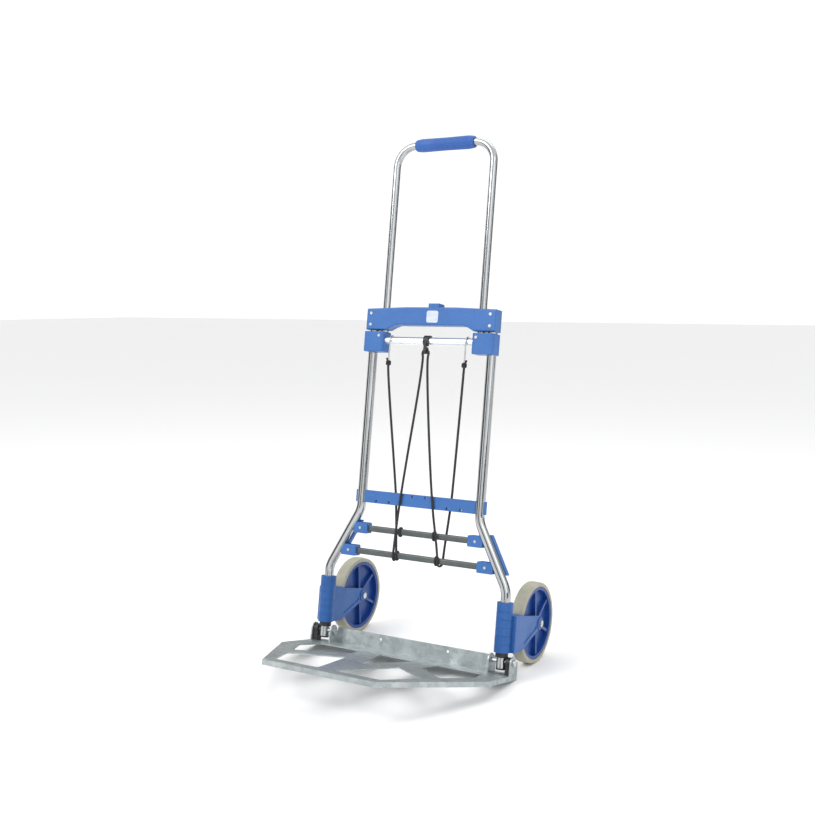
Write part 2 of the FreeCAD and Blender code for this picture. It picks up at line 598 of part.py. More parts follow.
def fold_cam(side_name, side):
    """A plastic boss on the outer ear, which turns the fork's collar as the plate folds."""
    low = f"Dim.foot_track + 12.8" if side > 0 else "-Dim.ear_out + 0.1"
    wide = "Dim.ear_out - Dim.foot_track - 12.9"
    disc = cylinder(low, "-Dim.pin_y", "Dim.pin_z", 10.3, wide, X_AXIS)
    lug = box(low, "-Dim.pin_y - 8", "Dim.rim + 0.1", wide, 16, "Dim.pin_z - Dim.rim")
    bore = cylinder(-260, "-Dim.pin_y", "Dim.pin_z", "Dim.pin_r + 0.06", 520, X_AXIS)
    finish(cut(fuse(disc, lug), bore), "fold_cam_" + side_name, PLATE)


def hinge_pin(side_name, side):
    """The pin on which the toe plate folds, through a frame tube's foot."""
    low, high = size.ear_in - 0.4, size.ear_out + size.sheet + 0.4
    start = low if side > 0 else -high
    shank = cylinder(start, 0, "Dim.pin_v", "Dim.pin_r", high - low, X_AXIS)
    heads = [cylinder(x, 0, "Dim.pin_v", 6.5, 3, X_AXIS) for x in (start - 3, start + high - low)]
    finish(fuse(shank, *heads), "hinge_pin_" + side_name)


# Wheels and forks -----------------------------------------------------------------------------------

def at_wheel(side):
    """The wheel's centre, as a place in the row frame."""
    return FRAME * Placement(Vector(side * size.wheel_u, size.arm, AXLE_V), Rotation())


def fork_arm(name, start):
    """One arm of the fork, tapering from the sleeve to the axle."""
    outline = [
        (12, "Dim.arm_top"), ("Dim.arm - 4", "Dim.axle_v + 16"), ("Dim.arm + 4", "Dim.axle_v - 10"),
        ("Dim.arm - 35", "Dim.axle_v - 25"), (56, "Dim.sleeve_foot + 6"), (38, "Dim.sleeve_foot"), (12, "Dim.sleeve_foot"),
    ]
    return prism(name, "YZ_Plane", outline, start, "Dim.fork_wall")


def wheel_bracket(side_name, side):
    """A moulded sleeve that swivels on the frame tube, with a fork for the wheel."""
    centre, wheel = f"{side} * Dim.foot_track", f"{side} * Dim.wheel_u"
    sleeve = cylinder(centre, 0, "Dim.sleeve_foot", "Dim.sleeve_r", "Dim.sleeve_top - Dim.sleeve_foot")
    rings = []
    for v in (73, 89, 105, 121, 137):
        ring = cylinder(centre, 0, v, 20, 1.6)
        rings.append(cut(ring, cylinder(centre, 0, v - 1, "Dim.sleeve_r - 0.7", 4)))
    sleeve = cut(sleeve, *rings)
    web = box(f"{wheel} - Dim.fork_half", 4, "Dim.sleeve_foot", "2 * Dim.fork_half", 32, "Dim.arm_top - Dim.sleeve_foot")
    arms, bosses, grooves = [], [], []
    for end in (-1, 1):
        inner_face = "- Dim.fork_half" if end < 0 else "+ Dim.fork_half - Dim.fork_wall"
        arms.append(fork_arm(f"Arm{side_name}{end + 1}", f"{wheel} {inner_face}"))
        boss_low = "- Dim.fork_half - 1.5" if end < 0 else "+ Dim.fork_half - Dim.fork_wall"
        bosses.append(cylinder(f"{wheel} {boss_low}", "Dim.arm", "Dim.axle_v", 13, "Dim.fork_wall + 1.5", X_AXIS))
        groove = [(44, 76), (50, 70), ("Dim.arm - 17", "Dim.axle_v - 9"), ("Dim.arm - 20", "Dim.axle_v - 3")]
        groove_low = "- Dim.fork_half - 5" if end < 0 else "+ Dim.fork_half - 1.2"
        grooves.append(prism(f"Groove{side_name}{end + 1}", "YZ_Plane", groove, f"{wheel} {groove_low}", 6.2))
    room = cylinder(f"{wheel} - Dim.fork_half + Dim.fork_wall", "Dim.arm", "Dim.axle_v", "Dim.wheel_r + 3",
                    "2 * (Dim.fork_half - Dim.fork_wall)", X_AXIS)
    bore = cylinder(centre, 0, 0, "Dim.tube_od / 2 + Dim.gap", 300)
    axle = cylinder(f"{wheel} - 30", "Dim.arm", "Dim.axle_v", "Dim.axle_r + 0.05", 60, X_AXIS)
    finish(cut(fuse(sleeve, web, *arms, *bosses), room, bore, axle, *grooves), "wheel_bracket_" + side_name)


def swivel_collar(side_name, side):
    """A black ring under the sleeve, which the fold cam turns."""
    centre = f"{side} * Dim.foot_track"
    ring = cylinder(centre, 0, "Dim.sleeve_foot - 9.8", 12.6, 9.7)
    finish(cut(ring, cylinder(centre, 0, 40, "Dim.tube_od / 2 + Dim.gap", 30)), "swivel_collar_" + side_name)


def axle(side_name, side):
    """A bolt through the fork, its nut, and a spacer on each side of the hub."""
    place, reach = at_wheel(side), "Dim.fork_half + 1.5"
    start, nut_start = (f"-({reach})", f"-({reach}) - 4") if side > 0 else (f"-({reach}) - 4", reach)
    shank = cylinder(f"-({reach}) - 4", 0, 0, "Dim.axle_r", f"2 * ({reach}) + 8", X_AXIS)
    head = cylinder(reach if side > 0 else f"-({reach}) - 3", 0, 0, 6.8, 3, X_AXIS)
    finish(fuse(shank, head), "axle_bolt_" + side_name, place)
    nut = doc.addObject("Part::Prism", "Nut")
    nut.Polygon = 6
    nut.Placement = Placement(Vector(), Rotation(Z_AXIS, X_AXIS))
    bind(nut, x=nut_start if side > 0 else reach, Circumradius=7, Height=4)
    hole = cylinder(-30, 0, 0, "Dim.axle_r + 0.05", 60, X_AXIS)
    finish(cut(nut, hole), "axle_nut_" + side_name, place)
    spacers = []
    for x in (-14.9, 13.7):
        spacers.append(cut(cylinder(x, 0, 0, 9, 1.2, X_AXIS), cylinder(-30, 0, 0, "Dim.axle_r + 0.05", 60, X_AXIS)))
    finish(group(*spacers), "hub_spacers_" + side_name, place)
    return start


def wheel(side_name, side):
    """A moulded disc with a hub, a web and six spokes; its tyre; and a bush in the hub."""
    place = at_wheel(side)
    rim = cut(cylinder(-12, 0, 0, "Dim.disc_r", 24, X_AXIS), cylinder(-13, 0, 0, "Dim.disc_r - 7", 26, X_AXIS))
    web = cylinder(-2, 0, 0, "Dim.disc_r - 6", 4, X_AXIS)
    hub = cylinder(-13.5, 0, 0, "Dim.hub_r", 27, X_AXIS)
    spokes = []
    for n in range(6):
        spoke = box(-10, 0, 0, 20, 6, "Dim.disc_r - 6")
        turn = Rotation(X_AXIS, 60 * n + 10)
        spoke.Placement = Placement(turn.multVec(Vector(-10, -3, 0)), turn)
        for name in ("x", "y", "z"):
            spoke.setExpression(f"Placement.Base.{name}", None)
        spokes.append(spoke)
    bore = cylinder(-20, 0, 0, "Dim.axle_r + 3.02", 40, X_AXIS)
    finish(cut(fuse(rim, web, hub, *spokes), bore), "wheel_disc_" + side_name, place)
    half, crown = "Dim.wheel_half", "Dim.wheel_r"
    right = [(half, "Dim.disc_r + 0.05"), (half, f"{crown} - 4"), (f"{half} - 2", f"{crown} - 1.4"), (f"{half} - 7", crown)]
    tyre = revolved("Tyre" + side_name, mirrored_across(right))
    finish(tyre, "tyre_" + side_name, place)
    bush = cut(cylinder(-13.5, 0, 0, "Dim.axle_r + 3", 27, X_AXIS), cylinder(-30, 0, 0, "Dim.axle_r + 0.06", 60, X_AXIS))
    finish(bush, "hub_bush_" + side_name, place)


def mirrored_across(right):
    """A turned profile from its right half."""
    return right + [(f"-({x})", r) for x, r in reversed(right)]


def check_and_write():
    """Refuse a failed object or shape, then write one file for each sub-part."""
    doc.recompute()
    for item in doc.Objects:
        if {"Invalid", "Error"} & set(item.State):
            raise RuntimeError(f"{item.Name} ({item.Label}): {item.State}")
    os.makedirs("parts", exist_ok=True)
    for item in parts:
        if item.Shape.isNull() or not item.Shape.isValid():
            raise RuntimeError(f"{item.Label} has no valid shape")
        item.Shape.exportStep(f"parts/{item.Label}.step")
    whole = Part.makeCompound([item.Shape for item in parts]).BoundBox
    print(f"{len(parts)} sub-parts, box {whole}")


for side_name, side in SIDES.items():
    frame_tube(side_name, side)
    foot_plug(side_name, side)
    side_rail(side_name, side)
    lock_bar(side_name, side)
    slider_block(side_name, side)
    wire_hook(side_name, side)
    cord_knot(side_name, side)
    fold_cam(side_name, side)
    hinge_pin(side_name, side)
    wheel_bracket(side_name, side)
    swivel_collar(side_name, side)
    axle(side_name, side)
    wheel(side_name, side)
lower_strap()
for name, (rod, reach) in RODS.items():
    cross_rod(name, rod, reach)
frame_rivets()
crossbeam()
release_button()
button_spring()
handle()
slider_fittings()
centre_hook()
elastic_cord()
cord_wraps()
toe_plate()
check_and_write()
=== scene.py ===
"""Looks of a folding luggage cart: its finishes, tyres, elastic cord and knots, and the studio."""

import logging
import math
from dataclasses import dataclass
from enum import Enum

import bpy
from mathutils import Matrix, Vector


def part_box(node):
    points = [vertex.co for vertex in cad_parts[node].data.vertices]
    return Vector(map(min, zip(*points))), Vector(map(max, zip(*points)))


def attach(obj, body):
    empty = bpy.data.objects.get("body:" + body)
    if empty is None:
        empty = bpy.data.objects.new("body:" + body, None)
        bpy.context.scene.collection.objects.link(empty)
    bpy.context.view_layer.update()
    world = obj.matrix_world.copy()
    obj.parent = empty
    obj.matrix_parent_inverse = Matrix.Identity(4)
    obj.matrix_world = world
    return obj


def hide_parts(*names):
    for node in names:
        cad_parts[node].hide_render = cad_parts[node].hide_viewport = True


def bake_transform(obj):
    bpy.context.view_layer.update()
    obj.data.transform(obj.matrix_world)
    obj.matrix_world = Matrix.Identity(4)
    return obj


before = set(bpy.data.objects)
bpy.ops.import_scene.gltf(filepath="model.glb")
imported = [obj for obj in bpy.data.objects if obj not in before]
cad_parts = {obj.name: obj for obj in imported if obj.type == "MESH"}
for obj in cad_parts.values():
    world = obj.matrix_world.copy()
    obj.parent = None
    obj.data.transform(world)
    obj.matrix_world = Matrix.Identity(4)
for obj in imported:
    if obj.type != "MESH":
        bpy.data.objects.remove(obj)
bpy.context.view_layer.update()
log = logging.getLogger("luggage_cart")

LEAN = math.radians(8.5)
FOOT_Y = 0.0528022521
SIDES = {"left": -1, "right": 1}
Colour = tuple[float, float, float]


def on_frame(across: float, back: float, up: float) -> Vector:
    """Turn a place on the leaning frame into the row frame.

    Args:
        across: distance to the right of the middle, in metres.
        back: distance behind the tubes' middle plane.
        up: distance up along the tubes from the floor.

    Returns:
        The place in the row frame.
    """
    return Vector((
        across,
        FOOT_Y + back * math.cos(LEAN) + up * math.sin(LEAN),
        up * math.cos(LEAN) - back * math.sin(LEAN),
    ))


def middle(node: str) -> Vector:
    """Return the middle of a CAD node's box."""
    low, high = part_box(node)
    return (low + high) / 2


# Node groups ------------------------------------------------------------------------------------


class NodeGroup:
    """A shader node group, built once and placed in each material that uses the effect."""

    title = "group"
    inputs: tuple[tuple[str, str, object], ...] = ()
    outputs: tuple[tuple[str, str], ...] = ()

    def tree(self) -> bpy.types.ShaderNodeTree:
        """Return the group's tree, and build it at its first use."""
        found = bpy.data.node_groups.get(self.title)
        if found:
            return found
        tree = bpy.data.node_groups.new(self.title, "ShaderNodeTree")
        for name, kind, value in self.inputs:
            socket = tree.interface.new_socket(name, in_out="INPUT", socket_type=kind)
            if value is not None:
                socket.default_value = value
        for name, kind in self.outputs:
            tree.interface.new_socket(name, in_out="OUTPUT", socket_type=kind)
        self.fill(tree, tree.nodes.new("NodeGroupInput"), tree.nodes.new("NodeGroupOutput"))
        return tree

    def fill(self, tree: bpy.types.ShaderNodeTree, start: bpy.types.Node, end: bpy.types.Node) -> None:
        """Build the group's nodes.

        Args:
            tree: the group's tree.
            start: its input node.
            end: its output node.
        """
        raise NotImplementedError


def noise(tree: bpy.types.NodeTree, vector, scale, detail: float = 4, rough: float = 0.55) -> bpy.types.Node:
    """Add a noise texture.

    Args:
        tree: the tree to build in.
        vector: the socket that gives the coordinates.
        scale: a number, or the socket that gives it.
        detail: the number of octaves.
        rough: the strength of the finer octaves.

    Returns:
        The noise node.
    """
    node = tree.nodes.new("ShaderNodeTexNoise")
    node.inputs["Detail"].default_value = detail
    node.inputs["Roughness"].default_value = rough
    tree.links.new(vector, node.inputs["Vector"])
    if isinstance(scale, (int, float)):
        node.inputs["Scale"].default_value = scale
    else:
        tree.links.new(scale, node.inputs["Scale"])
    return node


def ranged(tree: bpy.types.NodeTree, value, low: float, high: float, to_low: float = 0, to_high: float = 1):
    """Map a value from one range to another, clamped, and return the result's socket."""
    node = tree.nodes.new("ShaderNodeMapRange")
    for name, number in (("From Min", low), ("From Max", high), ("To Min", to_low), ("To Max", to_high)):
        node.inputs[name].default_value = number
    tree.links.new(value, node.inputs["Value"])
    return node.outputs["Result"]


def math_node(tree: bpy.types.NodeTree, operation: str, first, second):
    """Combine two values, each a number or a socket, and return the result's socket."""
    node = tree.nodes.new("ShaderNodeMath")
    node.operation = operation
    for socket, value in zip(node.inputs, (first, second)):
        if isinstance(value, (int, float)):
            socket.default_value = value
        else:
            tree.links.new(value, socket)
    return node.outputs[0]


def mixed(tree: bpy.types.NodeTree, share, first, second):
    """Mix two colour sockets by a share, and return the result's socket."""
    node = tree.nodes.new("ShaderNodeMix")
    node.data_type = "RGBA"
    tree.links.new(share, node.inputs[0])
    tree.links.new(first, node.inputs[6])
    tree.links.new(second, node.inputs[7])
    return node.outputs[2]


class Patina(NodeGroup):
    """Slow changes of colour and shine over a surface, with a fine grain."""

    title = "patina"
    inputs = (
        ("Vector", "NodeSocketVector", None),
        ("Colour", "NodeSocketColor", None),
        ("Tint", "NodeSocketColor", None),
        ("Patch Scale", "NodeSocketFloat", 20.0),
        ("Patch Amount", "NodeSocketFloat", 0.5),
        ("Grain Scale", "NodeSocketFloat", 900.0),
        ("Roughness", "NodeSocketFloat", 0.4),
        ("Roughness Spread", "NodeSocketFloat", 0.1),
    )
    outputs = (("Colour", "NodeSocketColor"), ("Roughness", "NodeSocketFloat"), ("Height", "NodeSocketFloat"))

    def fill(self, tree: bpy.types.ShaderNodeTree, start: bpy.types.Node, end: bpy.types.Node) -> None:
        """Mix two colours by a slow noise, and put out a fine noise as the height."""
        patch = noise(tree, start.outputs["Vector"], start.outputs["Patch Scale"], 5)
        grain = noise(tree, start.outputs["Vector"], start.outputs["Grain Scale"], 2)
        share = ranged(tree, patch.outputs["Fac"], 0.38, 0.62)
        amount = math_node(tree, "MULTIPLY", share, start.outputs["Patch Amount"])
        colour = mixed(tree, amount, start.outputs["Colour"], start.outputs["Tint"])
        centred = math_node(tree, "SUBTRACT", share, 0.5)
        spread = math_node(tree, "MULTIPLY", centred, start.outputs["Roughness Spread"])
        rough = math_node(tree, "ADD", start.outputs["Roughness"], spread)
        tree.links.new(colour, end.inputs["Colour"])
        tree.links.new(rough, end.inputs["Roughness"])
        tree.links.new(grain.outputs["Fac"], end.inputs["Height"])


class Scratches(NodeGroup):
    """Fine scratches in two directions, as a mask."""

    title = "scratches"
    inputs = (
        ("Vector", "NodeSocketVector", None), ("Scale", "NodeSocketFloat", 60.0), ("Amount", "NodeSocketFloat", 0.3),
    )
    outputs = (("Mask", "NodeSocketFloat"),)

    def fill(self, tree: bpy.types.ShaderNodeTree, start: bpy.types.Node, end: bpy.types.Node) -> None:
        """Stretch a noise along two lines, and keep its crests."""
        masks = []
        for turn in (0.35, 1.9):
            mapping = tree.nodes.new("ShaderNodeMapping")
            mapping.inputs["Rotation"].default_value = (turn, turn * 0.6, turn * 1.3)
            mapping.inputs["Scale"].default_value = (1, 14, 14)
            tree.links.new(start.outputs["Vector"], mapping.inputs["Vector"])
            streak = noise(tree, mapping.outputs["Vector"], start.outputs["Scale"], 3, 0.7)
            masks.append(ranged(tree, streak.outputs["Fac"], 0.63, 0.68))
        both = math_node(tree, "MAXIMUM", *masks)
        tree.links.new(math_node(tree, "MULTIPLY", both, start.outputs["Amount"]), end.inputs["Mask"])


class Spangle(NodeGroup):
    """The crystal pattern of a zinc coat: flat flakes, each a little lighter or darker."""

    title = "spangle"
    inputs = (("Vector", "NodeSocketVector", None), ("Scale", "NodeSocketFloat", 90.0))
    outputs = (("Tone", "NodeSocketFloat"), ("Height", "NodeSocketFloat"))

    def fill(self, tree: bpy.types.ShaderNodeTree, start: bpy.types.Node, end: bpy.types.Node) -> None:
        """Give every cell of a warped cell pattern its own tone."""
        warp = noise(tree, start.outputs["Vector"], start.outputs["Scale"], 2)
        pushed = tree.nodes.new("ShaderNodeVectorMath")
        pushed.operation = "MULTIPLY_ADD"
        pushed.inputs[1].default_value = (0.012, 0.012, 0.012)
        tree.links.new(warp.outputs["Color"], pushed.inputs[0])
        tree.links.new(start.outputs["Vector"], pushed.inputs[2])
        cells = tree.nodes.new("ShaderNodeTexVoronoi")
        tree.links.new(pushed.outputs[0], cells.inputs["Vector"])
        tree.links.new(start.outputs["Scale"], cells.inputs["Scale"])
        split = tree.nodes.new("ShaderNodeSeparateColor")
        tree.links.new(cells.outputs["Color"], split.inputs["Color"])
        cloud = noise(tree, start.outputs["Vector"], 22.0, 5)
        tone = math_node(tree, "MULTIPLY", split.outputs["Red"], 0.45)
        slow = math_node(tree, "MULTIPLY", cloud.outputs["Fac"], 0.75)
        tree.links.new(math_node(tree, "ADD", tone, slow), end.inputs["Tone"])
        tree.links.new(cells.outputs["Distance"], end.inputs["Height"])


# Finishes ---------------------------------------------------------------------------------------


@dataclass(frozen=True)
class Finish:
    """A surface with slow patches and a fine grain, which most of the cart's parts share."""

    name: str
    colour: Colour
    tint: Colour
    roughness: float
    spread: float = 0.1
    metallic: float = 0.0
    patch_scale: float = 18.0
    patch_amount: float = 0.5
    grain_scale: float = 900.0
    grain_depth: float = 0.00004
    scratch: float = 0.0
    scratch_colour: Colour = (0.75, 0.78, 0.85)
    coat: float = 0.0

    def material(self) -> bpy.types.Material:
        """Return the finish's material, and build it at its first use."""
        found = bpy.data.materials.get(self.name)
        if found:
            return found
        material = bpy.data.materials.new(self.name)
        material.use_nodes = True
        tree = material.node_tree
        shader = tree.nodes["Principled BSDF"]
        shader.inputs["Metallic"].default_value = self.metallic
        if self.coat:
            shader.inputs["Coat Weight"].default_value = self.coat
            shader.inputs["Coat Roughness"].default_value = 0.15
        self.paint(tree, shader, tree.nodes.new("ShaderNodeTexCoord").outputs["Object"])
        return material

    def paint(self, tree: bpy.types.NodeTree, shader: bpy.types.Node, coordinates) -> None:
        """Join the effects to the shader.

        Args:
            tree: the material's tree.
            shader: its Principled shader.
            coordinates: the socket that gives the object's coordinates.
        """
        patina = self.patina(tree, coordinates)
        colour, rough = patina.outputs["Colour"], patina.outputs["Roughness"]
        if self.scratch:
            marks = tree.nodes.new("ShaderNodeGroup")
            marks.node_tree = Scratches().tree()
            marks.inputs["Amount"].default_value = self.scratch
            tree.links.new(coordinates, marks.inputs["Vector"])
            pale = tree.nodes.new("ShaderNodeRGB")
            pale.outputs[0].default_value = (*self.scratch_colour, 1)
            colour = mixed(tree, marks.outputs["Mask"], colour, pale.outputs[0])
        tree.links.new(colour, shader.inputs["Base Color"])
        tree.links.new(rough, shader.inputs["Roughness"])
        self.bump(tree, shader, patina.outputs["Height"])

    def patina(self, tree: bpy.types.NodeTree, coordinates) -> bpy.types.Node:
        """Place the patina group with this finish's values, and return it."""
        node = tree.nodes.new("ShaderNodeGroup")
        node.node_tree = Patina().tree()
        values = {
            "Colour": (*self.colour, 1), "Tint": (*self.tint, 1), "Patch Scale": self.patch_scale,
            "Patch Amount": self.patch_amount, "Grain Scale": self.grain_scale,
            "Roughness": self.roughness, "Roughness Spread": self.spread,
        }
        for name, value in values.items():
            node.inputs[name].default_value = value
        tree.links.new(coordinates, node.inputs["Vector"])
        return node

    def bump(self, tree: bpy.types.NodeTree, shader: bpy.types.Node, height) -> None:
        """Turn a height into the shader's normal."""
        node = tree.nodes.new("ShaderNodeBump")
        node.inputs["Distance"].default_value = self.grain_depth
        node.inputs["Strength"].default_value = 0.6
        tree.links.new(height, node.inputs["Height"])
        tree.links.new(node.outputs["Normal"], shader.inputs["Normal"])


@dataclass(frozen=True)
class DrawnTube(Finish):
    """Bright plated tube, with faint draw lines along it."""

    def paint(self, tree: bpy.types.NodeTree, shader: bpy.types.Node, coordinates) -> None:
        """Add lines along the tube to the shared effects."""
        patina = self.patina(tree, coordinates)
        mapping = tree.nodes.new("ShaderNodeMapping")
        mapping.inputs["Rotation"].default_value = (LEAN, 0, 0)
        mapping.inputs["Scale"].default_value = (1, 1, 0.02)
        tree.links.new(coordinates, mapping.inputs["Vector"])
        lines = noise(tree, mapping.outputs["Vector"], 700.0, 3)
        spread = ranged(tree, lines.outputs["Fac"], 0.3, 0.7, -0.03, 0.05)
        tree.links.new(patina.outputs["Colour"], shader.inputs["Base Color"])
        tree.links.new(math_node(tree, "ADD", patina.outputs["Roughness"], spread), shader.inputs["Roughness"])
        self.bump(tree, shader, lines.outputs["Fac"])


@dataclass(frozen=True)
class ZincSheet(Finish):
    """Dull zinc-coated sheet with a spangle, stains and light scratches."""

    def paint(self, tree: bpy.types.NodeTree, shader: bpy.types.Node, coordinates) -> None:
        """Tone the coat by its flakes, and scratch it."""
        patina = self.patina(tree, coordinates)
        flakes = tree.nodes.new("ShaderNodeGroup")
        flakes.node_tree = Spangle().tree()
        tree.links.new(coordinates, flakes.inputs["Vector"])
        dark = tree.nodes.new("ShaderNodeRGB")
        dark.outputs[0].default_value = (*self.tint, 1)
        share = ranged(tree, flakes.outputs["Tone"], 0.3, 0.95)
        colour = mixed(tree, share, dark.outputs[0], patina.outputs["Colour"])
        marks = tree.nodes.new("ShaderNodeGroup")
        marks.node_tree = Scratches().tree()
        marks.inputs["Amount"].default_value = self.scratch
        tree.links.new(coordinates, marks.inputs["Vector"])
        pale = tree.nodes.new("ShaderNodeRGB")
        pale.outputs[0].default_value = (*self.scratch_colour, 1)
        colour = mixed(tree, marks.outputs["Mask"], colour, pale.outputs[0])
        tree.links.new(colour, shader.inputs["Base Color"])
        spread = ranged(tree, flakes.outputs["Tone"], 0.3, 0.9, 0.08, -0.06)
        tree.links.new(math_node(tree, "ADD", patina.outputs["Roughness"], spread), shader.inputs["Roughness"])
        self.bump(tree, shader, flakes.outputs["Tone"])


@dataclass(frozen=True)
class Braid(Finish):
    """The woven cover of an elastic cord."""

    def paint(self, tree: bpy.types.NodeTree, shader: bpy.types.Node, coordinates) -> None:
        """Cross two slanting waves into a weave."""
        heights = []
        for slant in (1, -1):
            mapping = tree.nodes.new("ShaderNodeMapping")
            mapping.inputs["Rotation"].default_value = (0, slant * 0.6, 0)
            tree.links.new(coordinates, mapping.inputs["Vector"])
            wave = tree.nodes.new("ShaderNodeTexWave")
            wave.bands_direction = "Z"
            wave.inputs["Scale"].default_value = 190.0
            wave.inputs["Distortion"].default_value = 1.0
            tree.links.new(mapping.outputs["Vector"], wave.inputs["Vector"])
            heights.append(wave.outputs["Fac"])
        weave = math_node(tree, "MULTIPLY", *heights)
        patina = self.patina(tree, coordinates)
        pale = tree.nodes.new("ShaderNodeRGB")
        pale.outputs[0].default_value = (*self.tint, 1)
        colour = mixed(tree, weave, patina.outputs["Colour"], pale.outputs[0])
        tree.links.new(colour, shader.inputs["Base Color"])
        tree.links.new(patina.outputs["Roughness"], shader.inputs["Roughness"])
        self.bump(tree, shader, weave)


class Finishes(Enum):
    """Every finish on the cart."""

    CHROME = DrawnTube(
        "bright tube", (0.50, 0.51, 0.52), (0.37, 0.39, 0.40), 0.13, 0.08, 1.0, 9.0, 0.6, 900.0, 0.00002,
    )
    BAR = DrawnTube(
        "polished bar", (0.86, 0.89, 0.90), (0.74, 0.78, 0.80), 0.28, 0.08, 0.85, 12.0, 0.5, 900.0, 0.00002,
    )
    ROD = DrawnTube("grey rod", (0.115, 0.13, 0.13), (0.07, 0.08, 0.08), 0.42, 0.12, 0.35, 25.0, 0.6, 700.0, 0.00004)
    BEAM = Finish("beam blue", (0.038, 0.148, 0.430), (0.030, 0.120, 0.360), 0.46, 0.1, scratch=0.06)
    FORK = Finish("fork blue", (0.012, 0.102, 0.350), (0.009, 0.080, 0.290), 0.42, 0.12, scratch=0.08)
    DISC = Finish("wheel blue", (0.008, 0.058, 0.270), (0.006, 0.044, 0.215), 0.38, 0.1, scratch=0.06)
    GRIP = Finish("grip blue", (0.026, 0.112, 0.400), (0.020, 0.090, 0.335), 0.55, 0.1, grain_depth=0.0001)
    TYRE = Finish(
        "grey tyre", (0.42, 0.41, 0.32), (0.33, 0.325, 0.26), 0.72, 0.1, patch_scale=30.0, patch_amount=0.7,
        grain_depth=0.00012, scratch=0.12, scratch_colour=(0.2, 0.2, 0.17),
    )
    SHEET = ZincSheet(
        "zinc sheet", (0.58, 0.62, 0.62), (0.33, 0.37, 0.38), 0.38, 0.12, 0.75, 14.0, 0.5, 500.0, 0.00006, 0.25,
        (0.78, 0.80, 0.80),
    )
    ZINC = Finish("plated steel", (0.62, 0.63, 0.63), (0.48, 0.49, 0.50), 0.3, 0.15, 0.95, patch_scale=60.0)
    BLACK = Finish("black plastic", (0.016, 0.016, 0.018), (0.028, 0.028, 0.030), 0.42, 0.12, scratch=0.05)
    BADGE = Finish(
        "blank badge", (0.50, 0.58, 0.76), (0.62, 0.68, 0.82), 0.4, 0.05, patch_scale=140.0, patch_amount=0.9,
    )
    CORD = Braid("elastic cover", (0.010, 0.010, 0.011), (0.035, 0.035, 0.038), 0.75, 0.1, grain_depth=0.0003)

    def dress(self, piece: bpy.types.Object) -> bpy.types.Object:
        """Give a piece this finish in place of whatever it had, and return the piece."""
        piece.data.materials.clear()
        piece.data.materials.append(self.value.material())
        return piece


# Modelling helpers ------------------------------------------------------------------------------


def deselect() -> None:
    """Leave nothing selected, so that an operator acts on its own piece only."""
    if bpy.context.object and bpy.context.object.mode != "OBJECT":
        bpy.ops.object.mode_set(mode="OBJECT")
    bpy.ops.object.select_all(action="DESELECT")


def settle(piece: bpy.types.Object, name: str, place: Matrix) -> bpy.types.Object:
    """Name a piece and put its place into its mesh, so that its object sits at the origin.

    Args:
        piece: the finished piece.
        name: its name.
        place: where its own origin and axes go in the row frame.

    Returns:
        The piece.
    """
    deselect()
    piece.name = name
    piece.data.name = name
    piece.data.transform(place @ piece.matrix_basis)
    piece.matrix_basis = Matrix.Identity(4)
    return piece


def smooth(piece: bpy.types.Object, angle: float = 35.0) -> None:
    """Shade a piece smooth, apart from edges sharper than an angle in degrees."""
    deselect()
    piece.select_set(True)
    bpy.context.view_layer.objects.active = piece
    bpy.ops.object.shade_smooth_by_angle(angle=math.radians(angle))


# Sub-assemblies ---------------------------------------------------------------------------------


@dataclass
class Tyre:
    """A solid tyre: a ring with a crowned tread and rounded shoulders."""

    side_name: str
    radius: float = 0.084
    inner: float = 0.0751
    half_width: float = 0.013
    shoulder: float = 0.0022
    crown: float = 0.0009

    def profile(self) -> list[tuple[float, float]]:
        """Return the ring's section, as places across the wheel and out from its axle."""
        edge = self.radius - self.crown
        corner = [
            (self.half_width - self.shoulder * (1 - math.cos(turn)), edge - self.shoulder * (1 - math.sin(turn)))
            for turn in (math.radians(degrees) for degrees in (0, 22.5, 45, 67.5, 90))
        ]
        right = [(self.half_width, self.inner), *corner, (self.half_width * 0.45, self.radius - self.crown * 0.2)]
        return [*right, (0.0, self.radius), *((-across, out) for across, out in reversed(right))]

    def build(self) -> bpy.types.Object:
        """Turn the section round the axle, put the ring round its wheel and let it ride on it."""
        deselect()
        section = self.profile()
        bpy.ops.mesh.primitive_circle_add(vertices=len(section), radius=self.radius)
        tyre = bpy.context.object
        for vertex, (across, out) in zip(tyre.data.vertices, section):
            vertex.co = (across, 0, out)
        screw = tyre.modifiers.new("turn", "SCREW")
        screw.axis = "X"
        screw.steps = 128
        screw.render_steps = 128
        screw.use_merge_vertices = True
        screw.merge_threshold = 0.00001
        bpy.ops.object.modifier_apply(modifier=screw.name)
        bpy.ops.object.mode_set(mode="EDIT")
        bpy.ops.mesh.select_all(action="SELECT")
        bpy.ops.mesh.normals_make_consistent(inside=False)
        bpy.ops.object.mode_set(mode="OBJECT")
        settle(tyre, f"tread_{self.side_name}", Matrix.Translation(middle(f"tyre_{self.side_name}")))
        smooth(tyre, 30)
        return self.dress(tyre)

    def dress(self, tyre: bpy.types.Object) -> bpy.types.Object:
        """Finish the tyre, and let it stand for the CAD ring."""
        Finishes.TYRE.dress(tyre)
        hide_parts(f"tyre_{self.side_name}")
        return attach(tyre, f"wheel_{self.side_name}")


